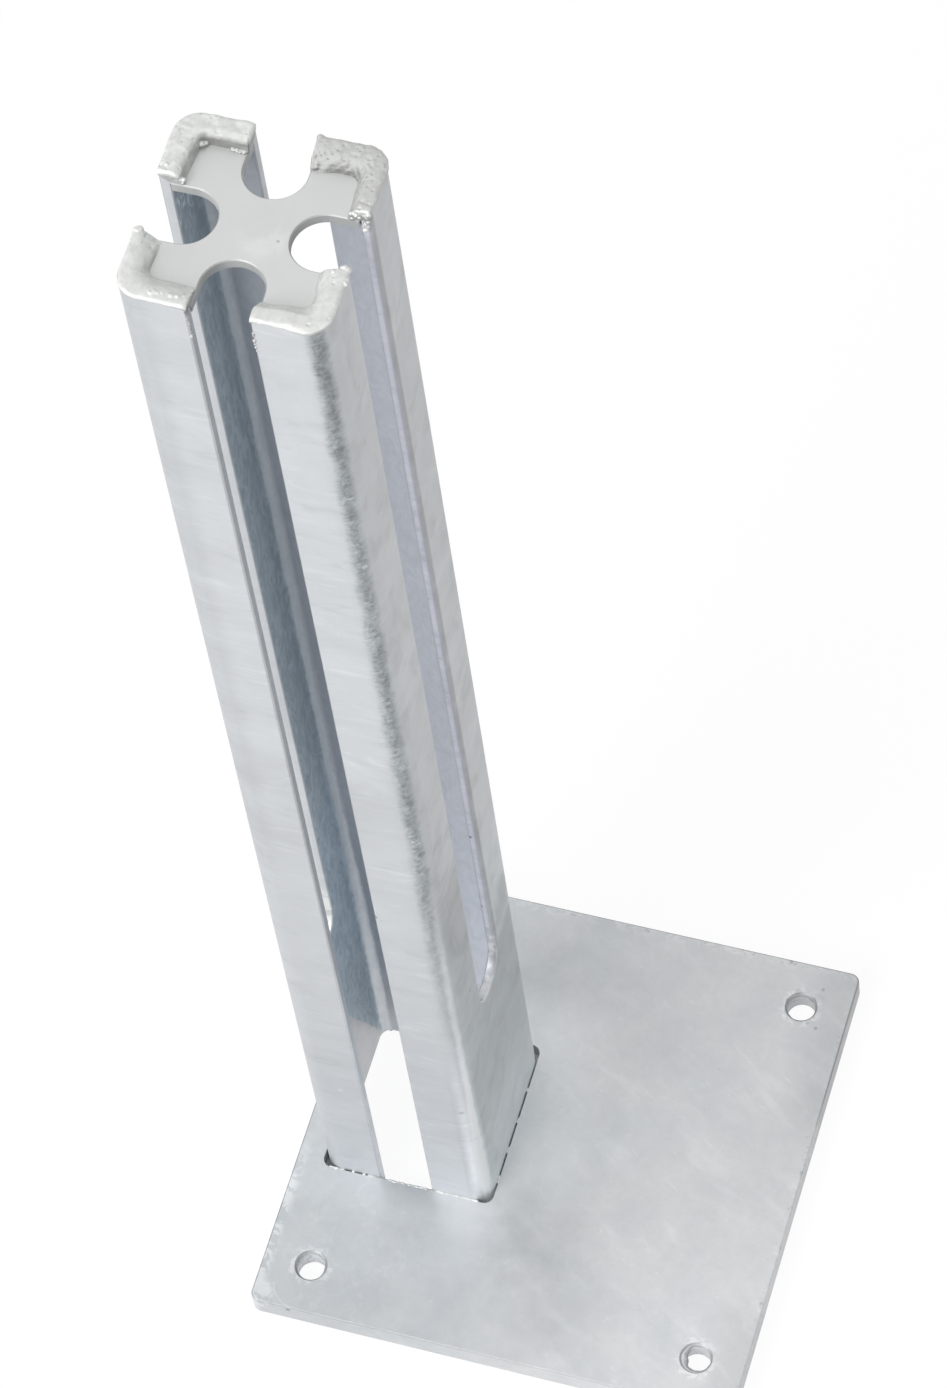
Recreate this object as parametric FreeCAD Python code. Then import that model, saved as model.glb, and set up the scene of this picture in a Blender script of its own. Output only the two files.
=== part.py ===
import FreeCAD, Part
import math
import os

# Galvanised column base: a square plate that is bolted down, with a slotted post welded into it.
# A hollow column slides over the post, and its inner ribs run in the post's four long gaps.
# Lengths are in millimetres. The origin is the middle of the plate's underside, +Z is up,
# +X runs along the plate's front edge from the post towards the free side, and +Y points back.

# Base plate
plate_length = 150.0
plate_width = 150.0
plate_thickness = 8.0
plate_corner_radius = 3.0
plate_edge_round = 0.6

# Anchor holes, one in each corner of the plate
hole_diameter = 9.0
hole_edge_distance = 15.0
hole_rim_chamfer = 0.5

# Post: two channels of bent sheet that face each other across a seam gap
post_length = 53.0
post_width = 54.0
post_edge_margin = 8.5
overall_height = 480.0
sheet_thickness = 3.0
bend_inner_radius = 3.5
seam_gap = 16.0
sheet_edge_chamfer = 0.4

# Slot in the web of each channel, open at the top and round at its lower end
slot_width = 17.0
slot_floor_height = 100.0

# Cut-out that the post stands in, and the recess that is left below the post for the weld
seat_clearance = 0.4
seat_corner_radius = 3.0
weld_recess = 3.0

# Cross-shaped head plate inside the top of the post
head_thickness = 3.0
head_drop = 4.2
head_clearance = 0.2
head_notch_width = 16.0
head_web_width = 18.4
head_edge_chamfer = 0.3

# Weld beads on the head plate, which run up and over the channels' top rims
head_weld_foot = 4.0
head_weld_crest = 0.8
head_weld_corner_radius = 4.5
head_weld_cap_height = 0.8
head_weld_cap_inset = 0.3
head_weld_end_step = 0.4
head_weld_round = 0.6

# Weld beads under the post
base_weld_reach = 2.4
base_weld_toe = 0.9
base_weld_lift = 0.3
base_weld_corner_radius = 2.0

# Places that follow from the sizes above
post_x = -plate_length / 2 + post_edge_margin + post_length / 2
channel_top = overall_height - head_weld_cap_height
channel_height = channel_top - weld_recess
inner_length = post_length - 2 * sheet_thickness
inner_width = post_width - 2 * sheet_thickness
bend_outer_radius = bend_inner_radius + sheet_thickness
seat_length = post_length + 2 * seat_clearance
seat_width = post_width + 2 * seat_clearance
head_top_height = overall_height - head_drop

# How far cutting tools run past the piece, and how near counts as touching
cut_margin = 10.0
tolerance = 1e-4


def rounded_rectangle(length, width, radius, height):
    """Closed outline about the post's axis, with round corners, at the given height."""
    half_x = length / 2
    half_y = width / 2
    edges = []
    corners = [(half_x, half_y, 0), (-half_x, half_y, 90), (-half_x, -half_y, 180), (half_x, -half_y, 270)]
    arc_ends = []
    for corner_x, corner_y, start_angle in corners:
        centre_x = corner_x - math.copysign(radius, corner_x)
        centre_y = corner_y - math.copysign(radius, corner_y)
        points = []
        for angle in (start_angle, start_angle + 45, start_angle + 90):
            x = post_x + centre_x + radius * math.cos(math.radians(angle))
            y = centre_y + radius * math.sin(math.radians(angle))
            points.append(FreeCAD.Vector(x, y, height))
        arc_ends.append(points)
    for index, points in enumerate(arc_ends):
        following = arc_ends[(index + 1) % len(arc_ends)]
        edges.append(Part.Arc(*points).toShape())
        edges.append(Part.LineSegment(points[-1], following[0]).toShape())
    return Part.Wire(edges)


def rounded_block(length, width, radius, bottom, top):
    """Upright prism about the post's axis, with round corners."""
    outline = Part.Face(rounded_rectangle(length, width, radius, bottom))
    return outline.extrude(FreeCAD.Vector(0, 0, top - bottom))


def tapered_block(lower, upper, radius, bottom, top):
    """Upright block whose length and width change evenly from the lower pair to the upper pair."""
    outlines = [rounded_rectangle(*lower, radius, bottom), rounded_rectangle(*upper, radius, top)]
    return Part.makeLoft(outlines, True, True)


def post_box(x_range, y_range, z_range):
    """Plain box whose X and Y are measured from the post's axis."""
    corner = FreeCAD.Vector(post_x + x_range[0], y_range[0], z_range[0])
    return Part.makeBox(x_range[1] - x_range[0], y_range[1] - y_range[0], z_range[1] - z_range[0], corner)


def lies_at_height(edge, height):
    """True for an edge that lies flat at the given height."""
    box = edge.BoundBox
    return abs(box.ZMin - height) < tolerance and abs(box.ZMax - height) < tolerance


def anchor_hole_centres():
    """Centres of the four anchor holes."""
    reach_x = plate_length / 2 - hole_edge_distance
    reach_y = plate_width / 2 - hole_edge_distance
    return [(side_x * reach_x, side_y * reach_y) for side_x in (-1, 1) for side_y in (-1, 1)]


def base_plate():
    """Plate with round corners and edges, four anchor holes and the cut-out for the post."""
    corner = FreeCAD.Vector(-plate_length / 2, -plate_width / 2, 0)
    plate = Part.makeBox(plate_length, plate_width, plate_thickness, corner)
    upright = [edge for edge in plate.Edges if edge.BoundBox.ZLength > plate_thickness / 2]
    plate = plate.makeFillet(plate_corner_radius, upright)
    rims = [edge for edge in plate.Edges if edge.BoundBox.ZLength < plate_thickness / 2]
    plate = plate.makeFillet(plate_edge_round, rims)
    for x, y in anchor_hole_centres():
        drill = Part.makeCylinder(hole_diameter / 2, plate_thickness, FreeCAD.Vector(x, y, 0))
        plate = plate.cut(drill)
    plate = plate.makeChamfer(hole_rim_chamfer, [edge for edge in plate.Edges if is_hole_rim(edge)])
    seat = rounded_block(seat_length, seat_width, seat_corner_radius,
                         -cut_margin, plate_thickness + cut_margin)
    return plate.cut(seat)


def is_hole_rim(edge):
    """True for the circles where an anchor hole meets the plate's faces."""
    if not isinstance(edge.Curve, Part.Circle):
        return False
    return abs(edge.Curve.Radius - hole_diameter / 2) < tolerance


def post_shell():
    """Both channels in one, before the seam gaps part them."""
    outside = rounded_block(post_length, post_width, bend_outer_radius, weld_recess, channel_top)
    inside = rounded_block(inner_length, inner_width, bend_inner_radius,
                           weld_recess - cut_margin, channel_top + cut_margin)
    return outside.cut(inside)


def slot_cutter():
    """Bar with a round lower end that cuts the web slots of both channels."""
    reach = post_length / 2 + cut_margin
    radius = slot_width / 2
    centre_height = slot_floor_height + radius
    bar = post_box((-reach, reach), (-radius, radius), (centre_height, overall_height + cut_margin))
    start = FreeCAD.Vector(post_x - reach, 0, centre_height)
    round_end = Part.makeCylinder(radius, 2 * reach, start, FreeCAD.Vector(1, 0, 0))
    return bar.fuse(round_end).removeSplitter()


def channel(side):
    """One channel: side is -1 for the left one and 1 for the right one."""
    reach = post_length / 2 + cut_margin
    near = side * seam_gap / 2
    far = side * reach
    half = post_box((min(near, far), max(near, far)), (-reach, reach),
                    (weld_recess - cut_margin, overall_height + cut_margin))
    piece = post_shell().common(half).cut(slot_cutter())
    return piece.makeChamfer(sheet_edge_chamfer, open_edges(piece))


def open_edges(piece):
    """Cut edges of a channel that stay clear of the welds: its seam edges and its slot's edges."""
    chosen = []
    for edge in piece.Edges:
        box = edge.BoundBox
        at_weld = lies_at_height(edge, weld_recess) or lies_at_height(edge, channel_top)
        along_bend = box.ZLength > channel_height / 2 and is_bend_line(box.XMin - post_x, box.YMin)
        if not at_weld and not along_bend:
            chosen.append(edge)
    return chosen


def is_bend_line(x, y):
    """True where an upright edge is only the seam between a flat wall and its bend."""
    on_web = abs(abs(x) - post_length / 2) < tolerance or abs(abs(x) - inner_length / 2) < tolerance
    on_flange = abs(abs(y) - post_width / 2) < tolerance or abs(abs(y) - inner_width / 2) < tolerance
    beside_slot = abs(abs(y) - slot_width / 2) < tolerance
    beside_seam = abs(abs(x) - seam_gap / 2) < tolerance
    return (on_web and not beside_slot) or (on_flange and not beside_seam)


def head_notch_cutter(direction):
    """Round-ended cutter for the notch that opens along one unit direction."""
    radius = head_notch_width / 2
    centre_distance = head_web_width / 2 + radius
    reach = max(post_length, post_width)
    bottom = head_top_height - head_thickness - cut_margin
    height = head_thickness + 2 * cut_margin
    centre = FreeCAD.Vector(post_x, 0, bottom) + direction * centre_distance
    round_end = Part.makeCylinder(radius, height, centre)
    sideways = FreeCAD.Vector(-direction.y, direction.x, 0)
    corners = [centre - sideways * radius, centre - sideways * radius + direction * reach,
               centre + sideways * radius + direction * reach, centre + sideways * radius]
    mouth = Part.Face(Part.makePolygon(corners + corners[:1])).extrude(FreeCAD.Vector(0, 0, height))
    return round_end.fuse(mouth).removeSplitter()


def head_plate():
    """Cross-shaped plate that fits between the channels, a little below their top."""
    plate = rounded_block(inner_length - 2 * head_clearance, inner_width - 2 * head_clearance,
                          bend_inner_radius - head_clearance,
                          head_top_height - head_thickness, head_top_height)
    for x, y in ((1, 0), (0, 1), (-1, 0), (0, -1)):
        plate = plate.cut(head_notch_cutter(FreeCAD.Vector(x, y, 0)))
    rims = [edge for edge in plate.Edges if lies_at_height(edge, head_top_height)]
    return plate.makeChamfer(head_edge_chamfer, rims)


def head_weld(side_x, side_y):
    """L-shaped bead in one corner of the post, from the head plate up and over the channel's rim."""
    ring = rounded_block(inner_length, inner_width, bend_inner_radius, head_top_height, channel_top)
    cap = rounded_block(post_length - 2 * head_weld_cap_inset, post_width - 2 * head_weld_cap_inset,
                        bend_outer_radius - head_weld_cap_inset, channel_top, overall_height)
    foot = (inner_length - 2 * head_weld_foot, inner_width - 2 * head_weld_foot)
    crest = (inner_length - 2 * head_weld_crest, inner_width - 2 * head_weld_crest)
    hollow = tapered_block(foot, crest, head_weld_corner_radius, head_top_height, overall_height)
    start_x = max(seam_gap, head_notch_width) / 2 + head_weld_end_step
    start_y = max(slot_width, head_notch_width) / 2 + head_weld_end_step
    reach = max(post_length, post_width)
    x_range = sorted((side_x * start_x, side_x * reach))
    y_range = sorted((side_y * start_y, side_y * reach))
    corner = post_box(x_range, y_range, (head_top_height, overall_height))
    bead = ring.fuse(cap).cut(hollow).common(corner).removeSplitter()
    crest_edges = [edge for edge in bead.Edges if lies_at_height(edge, overall_height)]
    return bead.makeFillet(head_weld_round, crest_edges)


def base_weld(side):
    """Bead that joins the foot of one channel to the wall of the cut-out, above the plate's underside."""
    ring = rounded_block(seat_length, seat_width, seat_corner_radius, base_weld_lift, weld_recess)
    at_foot = 2 * (seat_clearance + base_weld_reach)
    at_toe = 2 * base_weld_toe
    hollow = tapered_block((seat_length - at_toe, seat_width - at_toe),
                           (seat_length - at_foot, seat_width - at_foot),
                           base_weld_corner_radius, base_weld_lift, weld_recess)
    reach = max(post_length, post_width)
    x_range = sorted((side * seam_gap / 2, side * reach))
    return ring.cut(hollow).common(post_box(x_range, (-reach, reach), (0, plate_thickness)))


def nodes():
    """Every piece of the part by its node name."""
    pieces = {
        "base_plate": base_plate(),
        "left_channel": channel(-1),
        "right_channel": channel(1),
        "head_plate": head_plate(),
        "base_weld_left": base_weld(-1),
        "base_weld_right": base_weld(1),
    }
    for side_x, x_name in ((-1, "left"), (1, "right")):
        for side_y, y_name in ((-1, "front"), (1, "back")):
            pieces["head_weld_" + y_name + "_" + x_name] = head_weld(side_x, side_y)
    return pieces


os.makedirs("parts", exist_ok=True)
for name, piece in nodes().items():
    piece.exportStep("parts/" + name + ".step")
    print(name, "solids", len(piece.Solids), "valid", piece.isValid(), "volume", round(piece.Volume, 1))
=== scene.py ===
import math
import random

import bmesh
import bpy
from mathutils import Matrix, Quaternion, Vector, noise


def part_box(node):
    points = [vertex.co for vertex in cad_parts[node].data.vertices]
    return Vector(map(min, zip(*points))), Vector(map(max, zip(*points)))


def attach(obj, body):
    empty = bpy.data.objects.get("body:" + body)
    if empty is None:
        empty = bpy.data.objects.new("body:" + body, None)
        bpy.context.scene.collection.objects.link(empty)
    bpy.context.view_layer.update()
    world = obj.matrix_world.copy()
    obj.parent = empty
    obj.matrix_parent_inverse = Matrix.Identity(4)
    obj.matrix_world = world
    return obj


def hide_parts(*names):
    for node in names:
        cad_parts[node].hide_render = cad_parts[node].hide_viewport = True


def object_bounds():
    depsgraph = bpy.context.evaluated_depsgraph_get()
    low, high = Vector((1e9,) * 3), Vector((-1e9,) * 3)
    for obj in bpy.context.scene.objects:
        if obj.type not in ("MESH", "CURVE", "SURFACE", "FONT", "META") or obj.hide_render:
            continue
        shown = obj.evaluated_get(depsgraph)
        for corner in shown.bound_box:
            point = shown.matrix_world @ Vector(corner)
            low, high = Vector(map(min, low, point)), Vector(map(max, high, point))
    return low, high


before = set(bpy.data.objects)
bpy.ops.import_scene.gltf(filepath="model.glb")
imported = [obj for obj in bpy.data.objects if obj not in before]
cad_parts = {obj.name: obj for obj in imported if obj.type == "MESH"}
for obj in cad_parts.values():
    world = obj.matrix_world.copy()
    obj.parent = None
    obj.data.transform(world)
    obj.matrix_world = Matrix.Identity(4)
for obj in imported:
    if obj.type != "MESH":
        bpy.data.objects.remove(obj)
cad_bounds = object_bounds()

# Sizes in metres. The boxes come from the parts in model.glb, and the sheet's own sizes are written here.
MM = 0.001
sheet_thickness = 3.0 * MM
bend_outer_radius = 6.5 * MM
seam_half_gap = 8.0 * MM
slot_half_width = 8.5 * MM
slot_floor_height = 100.0 * MM
seat_clearance = 0.4 * MM
hole_radius = 4.5 * MM
hole_edge_distance = 15.0 * MM

plate_low, plate_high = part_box("base_plate")
left_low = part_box("left_channel")[0]
right_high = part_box("right_channel")[1]
post_x = (left_low.x + right_high.x) / 2
post_half_length = (right_high.x - left_low.x) / 2
post_half_width = right_high.y
post_top = cad_bounds[1][2]
plate_top = plate_high.z
head_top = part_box("head_plate")[1].z

# The same places in millimetres for the finishes, with X and Y from the post's axis
web_out = post_half_length / MM
flange_out = post_half_width / MM
sheet = sheet_thickness / MM
seam_edge = seam_half_gap / MM
slot_edge = slot_half_width / MM
slot_foot = slot_floor_height / MM
rim_height = post_top / MM
head_face = head_top / MM
plate_face = plate_top / MM
plate_left = (plate_low.x - post_x) / MM
plate_right = (plate_high.x - post_x) / MM
plate_back = plate_high.y / MM

# Fineness of the melted zinc skins
fine_voxel = 0.2 * MM
coarse_voxel = 0.3 * MM

# First seed of each kind of zinc. The pieces of a kind count up from it.
head_bead_seed = 1
base_bead_seed = 5
foot_zinc_seed = 11
hole_zinc_seed = 21

# Camera: its places in metres, and its lens and sensor in millimetres
camera_place = Vector((0.3214, -0.7045, 1.5897))
camera_target = Vector((-0.0101, 0.0138, 0.2472))
camera_roll = math.radians(-9.44)
camera_lens = 220.5
sensor_width = 36.0

# Share of metal in the zinc's gloss. The rest is its pale oxide skin.
metal_share = 0.55

# Colours of the zinc in linear light. The web is a channel's slotted side, and its cut is the slot's edge.
web_colour_high = (0.635, 0.655, 0.675, 1)
web_colour_low = (0.622, 0.66, 0.675, 1)
flange_colour = (0.63, 0.65, 0.675, 1)
bend_colour = (0.61, 0.655, 0.685, 1)
cut_colour_left = (0.705, 0.73, 0.755, 1)
cut_colour_right = (0.73, 0.74, 0.795, 1)
# The next colour is a painted highlight on the up-facing foot of each slot.
slot_foot_highlight_colour = (0.98, 0.98, 0.97, 1)
# The inside colours are painted shade, darkest on the webs, with painted light on the right flange.
shaded_inner_web_dark = (0.40, 0.475, 0.53, 1)
shaded_inner_web_clear = (0.51, 0.58, 0.635, 1)
# The next colour is painted light, a pale patch low on the left inside web.
inner_foot_light_colour = (0.70, 0.70, 0.72, 1)
shaded_inner_flange_left = (0.56, 0.59, 0.635, 1)
lit_inner_flange_right = (0.75, 0.77, 0.83, 1)
# The two stripe colours are a painted highlight along the inner bends.
inner_bend_highlight_low = (0.78, 0.81, 0.84, 1)
inner_bend_highlight_high = (0.64, 0.68, 0.71, 1)
plate_colour_left = (0.622, 0.652, 0.678, 1)
plate_colour_right = (0.645, 0.655, 0.665, 1)
head_colour = (0.745, 0.755, 0.75, 1)
weld_colour_grey = (0.745, 0.76, 0.745, 1)
weld_colour_pale = (0.78, 0.785, 0.77, 1)
white = (1, 1, 1, 1)


class Shader:
    """Node graph of a material or world, with a short call for each kind of node that the finishes use."""

    def __init__(self, owner):
        owner.use_nodes = True
        self.owner = owner
        self.tree = owner.node_tree
        self.tree.nodes.clear()

    def node(self, kind, inputs=None, **settings):
        made = self.tree.nodes.new(kind)
        for key, value in settings.items():
            setattr(made, key, value)
        for key, value in (inputs or {}).items():
            self.put(made.inputs[key], value)
        return made

    def put(self, socket, value):
        """Links a socket to another one, or sets it to a plain value."""
        if isinstance(value, bpy.types.NodeSocket):
            self.tree.links.new(value, socket)
        elif value is not None:
            socket.default_value = value

    def millimetres(self, stretch=(1, 1, 1), turn=0.0):
        """The surface point in millimetres, turned about Z and then stretched along the axes."""
        place = self.node("ShaderNodeTexCoord").outputs["Object"]
        if turn:
            angles = (0, 0, math.radians(turn))
            place = self.node("ShaderNodeMapping", {"Vector": place, "Rotation": angles}).outputs["Vector"]
        scale = tuple(1 / (MM * factor) for factor in stretch)
        return self.node("ShaderNodeMapping", {"Vector": place, "Scale": scale}).outputs["Vector"]

    def post_axes(self):
        """X, Y and Z of the surface point in millimetres, X and Y from the post's axis."""
        x, y, z = self.node("ShaderNodeSeparateXYZ", {"Vector": self.millimetres()}).outputs
        return self.math("SUBTRACT", x, post_x / MM), y, z

    def noise(self, place, size, detail=3.0, roughness=0.5, distortion=0.0):
        """Soft noise from 0 to 1, whose blotches are about size millimetres across."""
        inputs = {"Vector": place, "Scale": 1 / size, "Detail": detail, "Roughness": roughness}
        inputs["Distortion"] = distortion
        return self.node("ShaderNodeTexNoise", inputs).outputs["Fac"]

    def math(self, operation, a, b=None):
        made = self.node("ShaderNodeMath", operation=operation)
        self.put(made.inputs[0], a)
        self.put(made.inputs[1], b)
        return made.outputs[0]

    def product(self, first, *others):
        for other in others:
            first = self.math("MULTIPLY", first, other)
        return first

    def ramp(self, value, low, high, out_low=0.0, out_high=1.0, smooth=True):
        """Value between low and high spread over out_low to out_high, and held at the ends."""
        kind = "SMOOTHSTEP" if smooth else "LINEAR"
        made = self.node("ShaderNodeMapRange", interpolation_type=kind)
        keys = ("Value", "From Min", "From Max", "To Min", "To Max")
        for key, number in zip(keys, (value, low, high, out_low, out_high)):
            self.put(made.inputs[key], number)
        return made.outputs["Result"]

    def sway(self, value, amount):
        """Noise turned into a factor about 1, between 1 - amount and 1 + amount."""
        return self.ramp(value, 0.3, 0.7, 1 - amount, 1 + amount, smooth=False)

    def band(self, value, low, high, soft):
        """1 where value lies between low and high, with soft ends."""
        rise = self.ramp(value, low - soft / 2, low + soft / 2)
        fall = self.ramp(value, high - soft / 2, high + soft / 2, 1.0, 0.0)
        return self.product(rise, fall)

    def fade(self, share, factor):
        """1 where share is 0, and factor where it is 1."""
        return self.ramp(share, 0, 1, 1.0, factor, smooth=False)

    def gap(self, centre):
        """Distance in millimetres to a point, which is given in millimetres from the post's axis."""
        shifted = (centre[0] + post_x / MM, centre[1], centre[2])
        made = self.node("ShaderNodeVectorMath", {0: self.millimetres(), 1: shifted}, operation="DISTANCE")
        return made.outputs["Value"]

    def spot(self, centre, radius):
        """1 at a point, given in millimetres from the post's axis, and 0 beyond the radius."""
        return self.ramp(self.gap(centre), radius * 0.6, radius, 1.0, 0.0)

    def haze(self, centre, radius):
        """Like spot, but fading all the way from the point to an uneven rim."""
        uneven = self.ramp(self.noise(self.millimetres(), 9, 4, 0.6), 0.3, 0.7, -5, 5, smooth=False)
        return self.ramp(self.math("ADD", self.gap(centre), uneven), 1, radius, 1.0, 0.0)

    def marked(self, tone, marks):
        """The tone with small round marks on it, each given as its centre, radius and factor."""
        for centre, radius, factor in marks:
            tone = self.product(tone, self.fade(self.spot(centre, radius), factor))
        return tone

    def facing(self):
        """X, Y and Z of the direction that the surface faces."""
        normal = self.node("ShaderNodeTexCoord").outputs["Normal"]
        return self.node("ShaderNodeSeparateXYZ", {"Vector": normal}).outputs

    def mix_value(self, share, a, b):
        """Number a where share is 0 and number b where it is 1."""
        return self.node("ShaderNodeMix", {0: share, 2: a, 3: b}, data_type="FLOAT").outputs[0]

    def mix(self, share, a, b):
        """Colour a where share is 0 and colour b where it is 1."""
        made = self.node("ShaderNodeMix", data_type="RGBA")
        self.put(made.inputs["Factor"], share)
        self.put(made.inputs[6], a)
        self.put(made.inputs[7], b)
        return made.outputs[2]

    def tint(self, colour, factor):
        """The colour made darker or lighter by a factor."""
        grey = self.node("ShaderNodeCombineColor", {"Red": factor, "Green": factor, "Blue": factor})
        made = self.node("ShaderNodeMix", data_type="RGBA", blend_type="MULTIPLY")
        made.inputs["Factor"].default_value = 1.0
        self.put(made.inputs[6], colour)
        self.put(made.inputs[7], grey.outputs["Color"])
        return made.outputs[2]

    def bump(self, height, distance, strength=1.0, normal=None):
        made = self.node("ShaderNodeBump", {"Height": height, "Distance": distance, "Strength": strength})
        self.put(made.inputs["Normal"], normal)
        return made.outputs["Normal"]

    def finish(self, colour, roughness, normal):
        """The finished material, with its colour, roughness and normal, and the zinc's share of metal."""
        inputs = {"Base Color": colour, "Roughness": roughness, "Normal": normal, "Metallic": metal_share}
        return self.show(self.node("ShaderNodeBsdfPrincipled", inputs))

    def show(self, last_node, output_kind="ShaderNodeOutputMaterial"):
        """Sends the last node to the surface, and returns the finished material or world."""
        output = self.node(output_kind)
        self.put(output.inputs["Surface"], last_node.outputs[0])
        return self.owner


def new_material(name):
    """Empty node graph of a new material. In the finishes below it is called zinc."""
    return Shader(bpy.data.materials.new(name))


def bend_angle(zinc, across, along, jag):
    """Angle round the nearest bend in degrees, 0 on the web and 90 on the flange, with a ragged shift."""
    rise = zinc.math("SUBTRACT", along, flange_out - bend_outer_radius / MM)
    run = zinc.math("SUBTRACT", across, web_out - bend_outer_radius / MM)
    angle = zinc.math("DEGREES", zinc.math("ARCTAN2", rise, run))
    return zinc.math("ADD", angle, jag)


def outer_tone(zinc, x, y, z, across, angle, even_angle, dashes):
    """Tone of the post's outer faces: wisps, patches, rough dark bends, painted highlights on the lower
    bends, painted highlight and shade at the slot edges, painted light on the left seam's cut face, and a
    painted reflection of the plate low on the web.
    """
    on_web = zinc.ramp(across, web_out - 1.3, web_out - 0.1)
    clouds = zinc.noise(zinc.millimetres((1.6, 1.6, 1)), 20, 5, 0.6, 0.8)
    cloud = zinc.mix_value(on_web, zinc.sway(clouds, 0.05), zinc.sway(clouds, 0.08))
    wisps = zinc.noise(zinc.millimetres((5, 5, 1)), 4, 5, 0.65, 1.2)
    wisp_share = zinc.fade(on_web, 0.35)
    light_wisps = zinc.fade(zinc.product(zinc.ramp(wisps, 0.54, 0.72), wisp_share), 1.09)
    dark_wisps = zinc.fade(zinc.product(zinc.ramp(wisps, 0.45, 0.28), wisp_share), 0.92)
    # Darker towards the bottom on the front and back faces, and a painted reflection of the plate low on the
    # web
    foot = zinc.mix_value(on_web, zinc.ramp(z, 20, 270, 0.87, 0.98), zinc.ramp(z, 12, 75, 1.21, 1.0))
    smudges = zinc.noise(zinc.millimetres((1, 1, 1.4)), 11, 5, 0.6, 0.7)
    smudge = zinc.fade(zinc.product(on_web, zinc.ramp(smudges, 0.48, 0.72)), 0.88)
    tone = zinc.product(cloud, light_wisps, dark_wisps, foot, smudge, slot_edge_highlight_and_shade(zinc, across, y, z, smudges))
    uneven_z = zinc.math("ADD", z, zinc.ramp(clouds, 0.3, 0.7, -14, 14))
    tone = zinc.product(tone, outer_patches(zinc, x, y, uneven_z, on_web))
    # Painted light on the left seam's cut face, which the lamp leaves dark
    near_seam = zinc.ramp(across, seam_edge + 0.45, seam_edge + 0.2)
    lit_left_seam_face = zinc.product(near_seam, zinc.ramp(x, 0, -2), zinc.ramp(z, 200, 85))
    tone = zinc.product(tone, zinc.fade(lit_left_seam_face, 1.45))
    return zinc.product(tone, bend_tone(zinc, x, z, angle, even_angle, dashes, smudges))


def outer_patches(zinc, x, y, z, on_web):
    """Tone of the broad patches: a duller left bend and belt, a paler foot, and smudges on the web."""
    on_front = zinc.math("SUBTRACT", 1.0, on_web)
    left_bend = zinc.fade(zinc.product(zinc.ramp(x, -15, -21), zinc.ramp(z, 190, 240)), 0.91)
    slanted = zinc.math("SUBTRACT", z, zinc.product(x, 0.8))
    belt = zinc.fade(zinc.product(on_front, zinc.band(slanted, 222, 256, 34)), 0.92)
    front_foot = zinc.fade(zinc.product(on_front, zinc.ramp(z, 42, 12)), zinc.ramp(x, -5, 5, 1.0, 1.09))
    web_front = zinc.product(on_web, zinc.ramp(y, 3, -3))
    web_back = zinc.product(on_web, zinc.ramp(y, -3, 3))
    dull_front = zinc.fade(zinc.product(web_front, zinc.band(z, 152, 192, 20)), 0.86)
    pale_back = zinc.fade(zinc.product(web_back, zinc.band(z, 125, 165, 16)), 1.09)
    dull_back = zinc.fade(zinc.product(web_back, zinc.band(z, 92, 120, 12)), 0.92)
    return zinc.product(left_bend, belt, front_foot, dull_front, pale_back, dull_back)


def slot_edge_highlight_and_shade(zinc, across, y, z, smudges):
    """Tone along each slot's edges on the web: a painted highlight in front, and painted shade behind."""
    on_web = zinc.ramp(across, web_out - 0.6, web_out - 0.1)
    beside_slot = zinc.product(on_web, zinc.ramp(z, slot_foot + 5, slot_foot + 15))
    front = zinc.product(beside_slot, zinc.band(y, -slot_edge - 0.7, -slot_edge + 0.2, 0.3))
    broken = zinc.ramp(smudges, 0.30, 0.5, 0.6, 1.0)
    behind = zinc.product(beside_slot, zinc.band(y, slot_edge - 0.5, slot_edge + 1.2, 0.8), broken)
    return zinc.product(zinc.fade(front, 1.12), zinc.fade(behind, 0.72))


def bend_tone(zinc, x, z, angle, even_angle, dashes, smudges):
    """Tone of the outer bends: a rough dark band that fades out downwards, and a painted highlight along the
    bend below it.
    """
    grain = zinc.ramp(dashes, 0.30, 0.70, 0.64, 0.88, smooth=False)
    scurf = zinc.noise(zinc.millimetres((1, 1, 1.3)), 1.5, 4, 0.65)
    flecks = zinc.ramp(scurf, 0.34, 0.66, 0.70, 1.20, smooth=False)
    blotches = zinc.ramp(smudges, 0.35, 0.65, 1.12, 0.86, smooth=False)
    near_rim = zinc.ramp(z, rim_height - 100, rim_height - 30, 1.0, 0.80)
    depth = zinc.product(grain, flecks, blotches, near_rim)
    dark = zinc.mix_value(bend_band(zinc, x, z, angle), 1.0, depth)
    on_right = zinc.ramp(x, -5, 5)
    # Painted highlight along the right bends, and lower down near their foot
    pale = zinc.fade(zinc.product(zinc.band(even_angle, 31, 48, 14), zinc.ramp(z, 215, 140), on_right), 1.38)
    foot = zinc.product(zinc.ramp(z, 130, 30), zinc.ramp(z, 10, 24, 0.45, 1.0), on_right)
    bend_foot_highlight = zinc.fade(zinc.product(zinc.band(even_angle, 24, 73, 28), foot), 1.72)
    return zinc.product(dark, zinc.math("MINIMUM", zinc.product(pale, bend_foot_highlight), 1.8))


def bend_band(zinc, x, z, angle):
    """Rough band along the upper part of each outer bend, strong on the right and faint on the left."""
    side = zinc.ramp(x, -5, 5, 0.15, 1.0)
    return zinc.product(zinc.band(angle, 39, 71, 25), zinc.ramp(z, 90, 240), side)


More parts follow.
